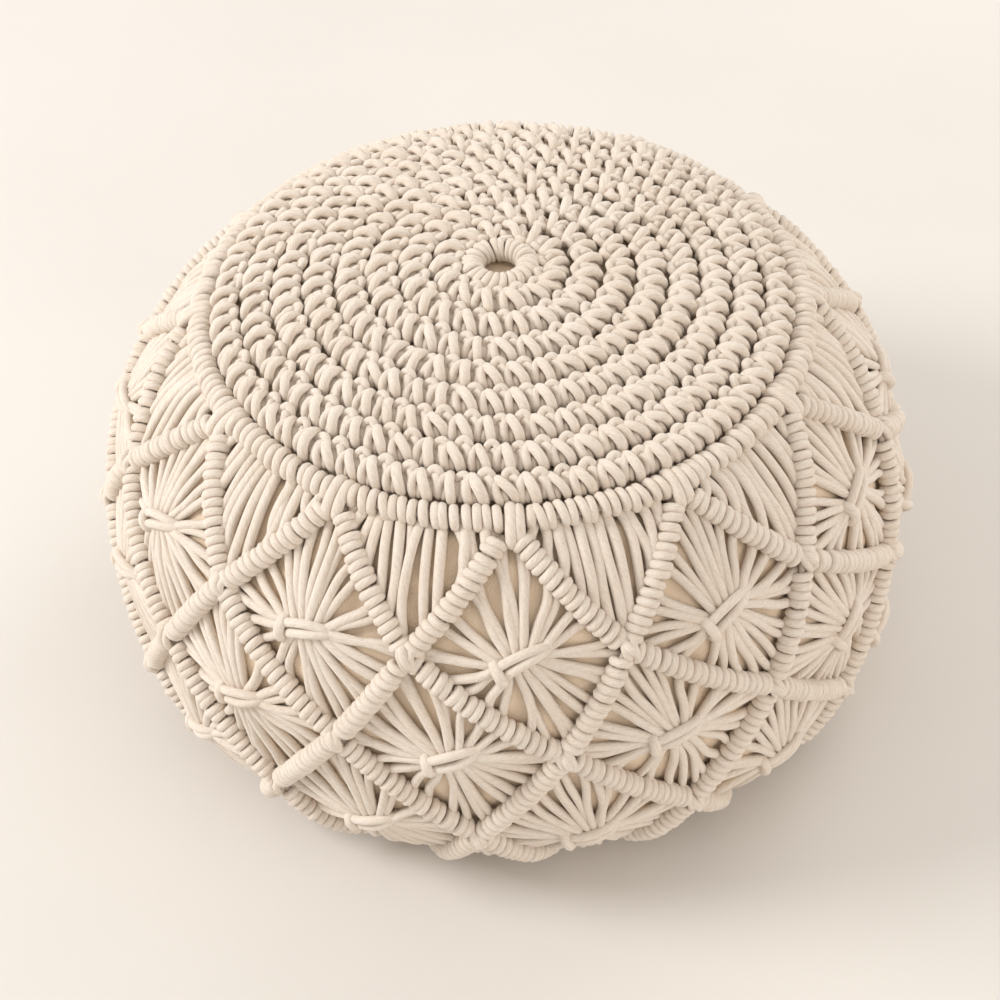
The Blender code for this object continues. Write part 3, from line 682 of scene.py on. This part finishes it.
def make_crossings(finish, random):
    """The small knot where two bars cross: three short strands drawn over the upper bar."""
    cords = Cords()
    places = []
    for row in CROSSING_ROWS:
        for number in range(DIAMONDS):
            angle = 2 * HALF_STEP * number + (HALF_STEP if row % 2 else 0.0)
            radius = float(radius_at(ROW_RUNS[row]))
            for side, slant, peak, reach in CROSSING_STRANDS:
                side = side + random.normal(0, 0.3)
                slant = slant + random.normal(0, 0.5)
                reach = reach + random.normal(0, 0.4)
                knots = [
                    (side - slant, -reach, -1.5),
                    (side - slant * 0.8, -reach * 0.7, peak - 2.2),
                    (side, 0.0, peak),
                    (side + slant * 0.8, reach * 0.7, peak - 2.2),
                    (side + slant, reach, -1.5),
                ]
                knots = np.array(knots) * MM * (1 / radius, 1.0, 1.0)
                places.append(through(knots + (angle, ROW_RUNS[row], 0.0), 4))
    laid(cords, places, CROSSING_THICKNESS)
    finish_piece(cords.make("crossing_knots", finish), "cotton_cord")


LONG_THICKER = 1.2
HITCH_LEAN_CHANGE = 5
RING_CARRIER = (2.6 * MM, 2.2 * MM)
RIM_HITCHES = {"pitch": 5.6 * MM, "across": 5.0 * MM, "deep": 4.3 * MM, "lean": 11, "lift": 0.4 * MM}
RIM_HITCHES["long_at"] = 2 * np.pi * np.arange(DIAMONDS) / DIAMONDS
RIM_HITCHES["long_by"] = 4.6 * MM
HEM_HITCHES = {"pitch": 5.3 * MM, "across": 4.2 * MM, "deep": 4.0 * MM, "lean": 10}


def make_ring_cord(node, finish, random, run, pitch, across, deep, lean, long_at=(), long_by=0.0, lift=0.0):
    """Hitches round a whole ring. The two nearest to each angle in long_at are thicker and hang lower."""
    cords = Cords()
    radius = float(radius_at(run))
    count = int(round(2 * np.pi * radius / pitch))
    angles = 2 * np.pi * (np.arange(count) + random.normal(0, 0.10, count)) / count
    shift = random.normal(0, 0.35 * MM, count)
    stretch = np.ones(count)
    for angle in long_at:
        gap = np.abs((angles - angle + np.pi) % (2 * np.pi) - np.pi) * radius
        near = np.argsort(gap)[:2]
        shift[near] = long_by * 0.8
        stretch[near] = 1 + long_by / across
    middles = place(angles, run + shift, lift)
    tangents = place(angles + 0.01, run, 0.0) - place(angles - 0.01, run, 0.0)
    outs = normal(angles, run + shift)
    swell = 1 + random.normal(0, 0.07, count)
    pairing = np.where(np.arange(count) % 2, 1, -1)
    tilt = np.radians(lean + HITCH_LEAN_CHANGE * pairing + random.normal(0, 5, count))
    tilt = np.where(stretch > 1, 0.0, tilt)
    thickness = np.where(stretch > 1, LONG_THICKER, 1.0)[:, None] * WRAP_THICKNESS
    wraps(cords, middles, tangents, outs, across * swell * stretch, deep * swell, thickness, tilt)
    ring, outs = ring_line(run, 0.0, 144)
    cords.sweep(ring, outs, *RING_CARRIER, closed=True)
    finish_piece(cords.make(f"{node}_wraps", finish), "cotton_cord", node)


FAN_CORDS = 15  # in each triangle
FAN_THICKER = 1.12
FAN_DEPTH = -3.4 * MM
FAN_LAYER = 0.9 * MM  # how much nearer every second cord is
FAN_SAGS = ((0.0, -0.6), (0.3, 1.7), (0.65, 1.4), (1.0, -0.8))  # share of the length, height in millimetres
STAR_CORDS = 14  # from the upper bars of a diamond, and as many from the lower
STAR_WAIST = 9.0 * MM
STAR_GATHER = 7 * MM  # the length of a cord that the tie holds
STAR_SPIN = 18  # degrees that the tie leans
CORD_THICKNESS = 2.7 * MM  # radius of a loose cord
TIE_LENGTH = 14.5 * MM
TIE_THICKNESS = 2.75 * MM
TIE_LOOP_AT = -15.0 * MM
TIE_LOOP_RADIUS = 5.6 * MM
TIE_LOOP_LIFT = 0.6 * MM
TIE_LOOP_THICKNESS = 3.2 * MM


def make_fan(name, node, finish, random, top_row, apex_row):
    """Triangles of near-parallel cords between a ring and the bars next to it."""
    cords = Cords()
    ring_run, apex_run = ROW_RUNS[top_row], ROW_RUNS[apex_row]
    places = []
    for number in range(DIAMONDS):
        for cord in range(FAN_CORDS):
            share = (cord + 0.5) / FAN_CORDS
            pair = 0.006 if cord % 2 else -0.006
            at_ring = 0.5 + (share - 0.5) * 0.90 + pair + random.normal(0, 0.008)
            at_bar = 0.5 + (share - 0.5) * 0.93 - pair + random.normal(0, 0.012)
            depth = 1 - abs(2 * at_bar - 1)
            last_run = ring_run + (apex_run - ring_run) * max(depth, 0.06)
            layer = FAN_DEPTH + (FAN_LAYER if cord % 2 else 0.0) + random.normal(0, 0.4 * MM)
            bow = random.normal(0.010, 0.020)
            sway = random.normal(0, 0.008)
            knots = []
            for step, sag in FAN_SAGS:
                across = at_ring + (at_bar - at_ring) * step + bow * np.sin(np.pi * step)
                across += sway * np.sin(2 * np.pi * step)
                angle = 2 * HALF_STEP * (number + across)
                knots.append((angle, ring_run + (last_run - ring_run) * step, layer + sag * MM))
            places.append(through(knots, 5))
    laid(cords, places, FAN_THICKER * CORD_THICKNESS * random.normal(1, 0.05, (len(places), 1)))
    finish_piece(cords.make(name, finish), "cotton_cord", node)


def star_frame(number, row, random):
    """Where a star's diamond lies, its size, the direction of its tie, and how far off the middle it is."""
    radius = float(radius_at(ROW_RUNS[row]))
    spin = np.radians(STAR_SPIN + random.normal(0, 5))
    return {
        "angle": 2 * HALF_STEP * number + (0.0 if row % 2 else HALF_STEP),
        "run": ROW_RUNS[row],
        "radius": radius,
        "side": HALF_STEP * radius,
        "ends": (ROW_RUNS[row - 1] - ROW_RUNS[row], ROW_RUNS[row + 1] - ROW_RUNS[row]),
        "tie": np.array([np.cos(spin), -np.sin(spin)]),
        "over": np.array([np.sin(spin), np.cos(spin)]),
        "shift": random.normal(0, 1.3 * MM, 2),
    }


def on_cover(star, flat, lift):
    """(angle, run, height) of a place given in metres across and down from the middle of a star's diamond."""
    return (star["angle"] + flat[0] / star["radius"], star["run"] + flat[1], lift)


def star_arms(star, random):
    """The cords of a star, from the bars round its diamond in to its tie."""
    arms = []
    for end, sign in zip(star["ends"], (-1, 1)):
        for cord in range(STAR_CORDS):
            share = (cord + 0.5 + (0.12 if cord % 2 else -0.12)) / STAR_CORDS + random.normal(0, 0.006)
            across = 2 * share - 1
            outer = np.array([across * star["side"], (1 - abs(across)) * end]) * 0.98
            inner = star["tie"] * across * STAR_WAIST - sign * star["over"] * 1.5 * MM + star["shift"]
            way = unit(outer - inner)
            aside = np.array([-way[1], way[0]])
            bow, sway = random.normal(0, (0.04, 0.012))
            layer = (0.9 if cord % 2 else -0.9) * MM + random.normal(0, 0.3 * MM)
            gather = inner + way * STAR_GATHER
            length = np.linalg.norm(outer - gather)
            bow, sway = bow * length, sway * length
            knots = [
                (outer, -4.4 * MM),
                (gather + way * length * 0.66 + aside * (bow + sway), -2.6 * MM + layer * 0.3),
                (gather + way * length * 0.33 + aside * (bow - sway) * 0.8, -1.0 * MM + layer * 0.5),
                (gather, 0.4 * MM + layer),
                (inner, -0.8 * MM + layer),
            ]
            arms.append(through([on_cover(star, flat, lift) for flat, lift in knots], 4))
    return arms


def tie_strands(star, random):
    """The two strands of the tie over the middle of a star. They meet at its right end."""
    strands = []
    length = TIE_LENGTH + random.normal(0, 0.8 * MM)
    arch = random.normal(1.2, 0.4)
    for side in (-1, 1):
        spread = 2.7 * MM + random.normal(0, 0.2 * MM)
        knots = []
        for along, lift, narrow in ((-1.05, 0.0, 1.0), (-0.8, 3.4, 1.0), (-0.3, 5.2, 1.05), (0.3, 5.4, 1.0)):
            knots.append((along, lift, narrow * side * spread))
        knots += [(0.8, 3.6, 0.7 * side * spread), (1.15, 0.4, 0.25 * side * spread), (1.35, -2.0, 0.0)]
        strand = []
        for along, lift, aside in knots:
            bend = -arch * MM * (1 - along**2)
            flat = star["tie"] * along * length + star["over"] * (aside + bend) + star["shift"]
            strand.append(on_cover(star, flat, lift * MM))
        strands.append(through(strand, 4))
    return strands


def make_stars(finish, random):
    """Three tiers of stars, each with its ties."""
    for row, tier in zip(CROSSING_ROWS, ("upper", "middle", "lower")):
        cords, ties = Cords(), Cords()
        stars = [star_frame(number, row, random) for number in range(DIAMONDS)]
        arms = np.array([arm for star in stars for arm in star_arms(star, random)])
        strands = np.array([strand for star in stars for strand in tie_strands(star, random)])
        thin = np.interp(np.arange(arms.shape[1]), [0, 8, arms.shape[1] - 1], [1.0, 1.0, 0.78])
        laid(cords, arms, CORD_THICKNESS * thin * random.normal(1, 0.05, (len(arms), 1)))
        laid(ties, strands, TIE_THICKNESS)
        tie_loops(ties, stars, random)
        finish_piece(cords.make(f"star_tier_{tier}_cords", finish), "cotton_cord", f"star_tier_{tier}")
        finish_piece(ties.make(f"star_tier_{tier}_ties", finish), "cotton_cord")


def tie_loops(ties, stars, random):
    """The loop that holds the left end of each tie."""
    middles, tangents, outs = [], [], []
    for star in stars:
        flat = star["tie"] * TIE_LOOP_AT + star["shift"]
        here = place(*on_cover(star, flat, TIE_LOOP_LIFT))
        middles.append(here)
        tangents.append(place(*on_cover(star, flat + star["tie"] * MM, TIE_LOOP_LIFT)) - here)
        outs.append(normal(*on_cover(star, flat, 0.0)[:2]))
    count = len(stars)
    across = TIE_LOOP_RADIUS * random.normal(1, 0.04, count)
    tilt = np.radians(random.normal(-6, 6, count))
    middles, tangents, outs = np.array(middles), np.array(tangents), np.array(outs)
    wraps(ties, middles, tangents, outs, across, across * 0.9, TIE_LOOP_THICKNESS, tilt)


# ---- Liner ----


def lattice_distance(points):
    """How far points near the side of the cushion are from the nearest bar or ring (0 elsewhere), their run,
    their height over the cord surface, and the way out from it."""
    radius = np.hypot(points[:, 0], points[:, 1])
    gaps = np.hypot(radius[:, None] - LINE[None, :, 0], points[:, 2][:, None] - LINE[None, :, 1])
    nearest = gaps.argmin(axis=1)
    run = RUN[nearest]
    turn = np.arctan2(points[:, 0], -points[:, 1])
    away = np.stack([radius, points[:, 2]], axis=1) - LINE[nearest]
    height = (away * OUTWARD[nearest]).sum(axis=1)
    flat = OUTWARD[nearest, 0]
    outward = np.stack([flat * np.sin(turn), -flat * np.cos(turn), OUTWARD[nearest, 1]], axis=1)
    angle = turn - np.radians(np.interp(run, ROW_RUNS, TIER_TWIST))
    rows = np.interp(run, ROW_RUNS, np.arange(len(ROW_RUNS)))
    over = (angle + rows * HALF_STEP) / (2 * HALF_STEP)
    under = (angle - rows * HALF_STEP) / (2 * HALF_STEP)
    step = 2 * HALF_STEP * radius_at(run) * BAR_SLANT
    bars = np.minimum(np.abs(over - np.round(over)), np.abs(under - np.round(under))) * step
    rings = np.minimum(np.abs(run - RIM_RUN), np.abs(run - HEM_RUN))
    side = (run > RIM_RUN) & (run < HEM_RUN)
    return np.where(side, np.minimum(bars, rings), 0.0), run, height, outward


def liner_form():
    """The three liner panels of the CAD model as one closed form with the filling, ready for simulation."""
    joined = bmesh.new()
    for name in ("filling", "liner_top", "liner_side", "liner_base"):
        joined.from_mesh(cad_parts[name].data)
    mesh = bpy.data.meshes.new("liner_cloth")
    joined.to_mesh(mesh)
    joined.free()
    return add_object("liner_cloth", mesh)


def apply_modifiers(obj):
    """Replaces the object's mesh with its evaluated one."""
    graph = bpy.context.evaluated_depsgraph_get()
    made = bpy.data.meshes.new_from_object(obj.evaluated_get(graph))
    old = obj.data
    obj.modifiers.clear()
    obj.data = made
    bpy.data.meshes.remove(old)


LINER_VOXEL = 6.0 * MM
LINER_DEPTH = 8.2 * MM  # below the cord surface, where the cords hold the cloth
LINER_PUFF = 3.6 * MM  # how much nearer it comes between them
LINER_BLEND = 5.0 * MM
LINER_FRAMES = 20
LINER_LIFT = 0.6 * MM  # of the top panel
LINER_LOW = 0.02  # the simulation holds the cloth still below this height
LINER_HOLD = 10.0 * MM  # the hold fades out over this distance from a bar
LINER_GRIP = 1.2  # the hold on a bar's middle, cut off at 1
LINER_LOOSE = 0.3  # less hold than this counts as loose
LINER_PUFF_MOST = 1.15  # of the median puff of the loose cloth
BAR_SLANT = 0.72  # turns a distance round the cushion into one square to a bar


def vertices_of(mesh):
    points = np.empty(len(mesh.vertices) * 3, np.float32)
    mesh.vertices.foreach_get("co", points)
    return points.reshape(-1, 3).astype(float)


def set_vertices(obj, points):
    obj.data.vertices.foreach_set("co", points.astype(np.float32).ravel())
    obj.data.update()


def puff_by_cloth(obj, held):
    """Blows the cloth out between the cords that hold it."""
    group = obj.vertex_groups.new(name="held")
    for level in range(11):
        members = np.nonzero(np.round(held * 10) == level)[0].tolist()
        if members and level:
            group.add(members, level / 10, "REPLACE")
    cloth = obj.modifiers.new("cloth", "CLOTH")
    cloth.settings.quality = 5
    cloth.settings.mass = 0.15
    cloth.settings.use_pressure = True
    cloth.settings.uniform_pressure_force = 25.0
    cloth.settings.shrink_min = -0.08
    cloth.settings.vertex_group_mass = "held"
    cloth.settings.pin_stiffness = 1.0
    cloth.settings.effector_weights.gravity = 0.0
    cloth.collision_settings.use_collision = False
    scene = bpy.context.scene
    for number in range(1, LINER_FRAMES + 1):
        scene.frame_set(number)
    graph = bpy.context.evaluated_depsgraph_get()
    points = vertices_of(obj.evaluated_get(graph).to_mesh())
    obj.modifiers.clear()
    scene.frame_set(1)
    return points


def make_liner(finish):
    """The liner, remeshed evenly, puffed out between the bars and laid at its depth below the cords."""
    obj = liner_form()
    remesh = obj.modifiers.new("remesh", "REMESH")
    remesh.mode = "VOXEL"
    remesh.voxel_size = LINER_VOXEL
    apply_modifiers(obj)
    before = vertices_of(obj.data)
    apart, run, height, outward = lattice_distance(before)
    low_part = before[:, 2] < LINER_LOW
    top = (run < RIM_RUN) & ~low_part
    held = np.where(apart > 0, np.clip(LINER_GRIP - apart / LINER_HOLD, 0, 1), 1.0)
    held = np.where(top, 0.0, held)
    held = np.where(low_part, 1.0, held)
    puff = np.linalg.norm(puff_by_cloth(obj, held) - before, axis=1)
    puff /= max(np.median(puff[(held < LINER_LOOSE) & ~top]), 0.5 * MM)
    level = LINER_PUFF * np.minimum(puff, LINER_PUFF_MOST) - LINER_DEPTH
    share = np.clip(np.minimum(run - RIM_RUN, HEM_RUN - run) / LINER_BLEND, 0, 1)
    lift = np.where(top, LINER_LIFT, share * (level - height))
    after = before + outward * lift[:, None]
    after[:, 2] = np.maximum(after[:, 2], 0.0)
    set_vertices(obj, after)
    fine = obj.modifiers.new("fine", "SUBSURF")
    fine.levels = 1
    fine.render_levels = 1
    apply_modifiers(obj)
    obj.data.shade_smooth()
    obj.data.materials.clear()
    obj.data.materials.append(finish)
    finish_piece(obj, "liner_cotton", "liner_top", "liner_side", "liner_base")


# ---- Zip ----

COIL_PITCH = 1.3 * MM
COIL_WIRE = 0.3 * MM
COIL_END = 0.4 * MM
COIL_WIDER = 1.15


def make_zip_coils(finish):
    """The nylon spirals: small turns along each tape's edge."""
    for name, side in (("front", -1), ("back", 1)):
        low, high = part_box(f"zip_coil_{name}")
        middle = (low + high) / 2
        radius = (high.z - low.z) / 2
        turns = int((high.x - low.x) / COIL_PITCH)
        share = np.linspace(0, 1, turns * 10 + 1)
        phase = 2 * np.pi * turns * share * side
        x = low.x + COIL_END + (high.x - low.x - 2 * COIL_END) * share
        reach = radius - COIL_WIRE
        y = middle.y + reach * COIL_WIDER * np.cos(phase)
        path = np.stack([x, y, middle.z + reach * np.sin(phase)], axis=-1)
        cords = Cords()
        ups = np.broadcast_to([1.0, 0.0, 0.0], path.shape)
        cords.sweep(path[None], ups[None], COIL_WIRE, COIL_WIRE, sides=6)
        finish_piece(cords.make(f"zip_coil_{name}_turns", finish), "zip_nylon", f"zip_coil_{name}")


def dress_nodes(finishes):
    """Gives the CAD solids that stay their finishes."""
    for name, finish in finishes.items():
        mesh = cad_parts[name].data
        mesh.materials.clear()
        mesh.materials.append(finish)


# ---- Room ----

FLOOR_LEVEL = -0.0005
FLOOR_RADIUS = 12.0
FLOOR_HOLE = 0.155  # under the cushion, so that light reaches its base when it is seen from below
FLOOR_SIDES = 64


def make_floor():
    n = Nodes("studio_floor")
    clouds = n.noise(n.here(), 3.0)
    colour = n.ramp(clouds, [(0.3, (0.70, 0.66, 0.61)), (0.7, (0.73, 0.69, 0.64))])
    finish = n.finish(colour, 0.85)
    n.clear_behind()
    turns = 2 * np.pi * np.arange(FLOOR_SIDES) / FLOOR_SIDES
    circle = np.stack([np.cos(turns), np.sin(turns)], axis=1)
    flat = np.concatenate([circle * FLOOR_HOLE, circle * FLOOR_RADIUS])
    points = np.column_stack([flat, np.full(len(flat), FLOOR_LEVEL)])
    inner = np.arange(FLOOR_SIDES)
    after = np.roll(inner, -1)
    faces = np.stack([inner, inner + FLOOR_SIDES, after + FLOOR_SIDES, after], axis=1)
    mesh = bpy.data.meshes.new("studio_floor")
    mesh.from_pydata(points.tolist(), [], faces.tolist())
    mesh.materials.append(finish)
    floor = add_object("studio_floor", mesh)


def area_light(name, location, target, size, power, colour):
    data = bpy.data.lights.new(name, "AREA")
    data.shape = "DISK"
    data.size = size
    data.energy = power
    data.color = colour
    obj = add_object(name, data)
    obj.location = location
    way = Vector(target) - Vector(location)
    obj.rotation_euler = way.to_track_quat("-Z", "Y").to_euler()


def make_light():
    middle = (0.0, 0.0, 0.14)
    area_light("key_light", (-2.0, -0.1, 1.5), middle, 1.0, 40, (1.0, 1.0, 1.0))
    area_light("fill_light", (1.8, -1.6, 1.1), middle, 2.2, 18, (1.0, 0.935, 0.87))
    area_light("back_light", (1.4, 1.5, 1.3), middle, 1.6, 17, (1.0, 0.99, 0.975))
    world = bpy.data.worlds.new("studio_world")
    world.use_nodes = True
    background = world.node_tree.nodes["Background"]
    background.inputs["Color"].default_value = (1.0, 0.97, 0.94, 1.0)
    background.inputs["Strength"].default_value = 0.74
    bpy.context.scene.world = world
    bpy.context.scene.view_settings.view_transform = "Standard"
    bpy.context.scene.view_settings.look = "None"


CAMERA_DISTANCE = 1.293
CAMERA_ELEVATION = 43.39  # degrees, as are the roll and the aim
CAMERA_ROLL = -1.888
CAMERA_TARGET_Z = 0.136
CAMERA_SENSOR = 36.0
CAMERA_LENS = 74.412
CAMERA_AIM = (0.16909, -1.38014)  # how far right and down of the middle of the picture the target lies


def make_camera():
    data = bpy.data.cameras.new("camera")
    data.sensor_width = CAMERA_SENSOR
    data.lens = CAMERA_LENS
    obj = add_object("camera", data)
    tilt = np.radians(CAMERA_ELEVATION)
    target = Vector((0, 0, CAMERA_TARGET_Z))
    back = Vector((0, -np.cos(tilt), np.sin(tilt)))
    obj.location = target + back * CAMERA_DISTANCE
    upright = back.to_track_quat("Z", "Y").to_matrix()
    right, down = np.radians(CAMERA_AIM)
    turn = upright @ Matrix.Rotation(np.radians(CAMERA_ROLL), 3, "Z")
    turn = turn @ Matrix.Rotation(right, 3, "Y") @ Matrix.Rotation(down, 3, "X")
    obj.rotation_euler = turn.to_euler()
    bpy.context.scene.camera = obj


def main():
    random = np.random.default_rng(SEED)
    make_camera()
    make_light()
    make_floor()
    cord = cord_material()
    liner = woven_material("liner_cloth_weave", LINER_LIGHT, LINER_DARK, 1400.0, 0.0003)
    tape = woven_material("zip_tape_weave", (0.62, 0.52, 0.39), (0.52, 0.42, 0.30), 2600.0, 0.0001)
    metal = metal_material()
    make_centre_ring(cord, random)
    make_knot_rows(cord, random)
    make_ring_cord("rim_cord", cord, random, RIM_RUN, **RIM_HITCHES)
    make_fan("rim_fan_cords", "rim_fan", cord, random, 0, 1)
    make_stars(cord, random)
    make_bars(cord, random)
    make_crossings(cord, random)
    make_fan("hem_fan_cords", "hem_fan", cord, random, len(ROW_RUNS) - 1, len(ROW_RUNS) - 2)
    make_ring_cord("hem_cord", cord, random, HEM_RUN, **HEM_HITCHES)
    make_liner(liner)
    make_zip_coils(nylon_material())
    dress_nodes(
        {
            "filling": wadding_material(),
            "zip_tape_front": tape,
            "zip_tape_back": tape,
            "zip_stop_closed": metal,
            "zip_stop_open": metal,
            "zip_slider": metal,
            "zip_pull": metal,
        }
    )


main()
bpy.context.view_layer.update()
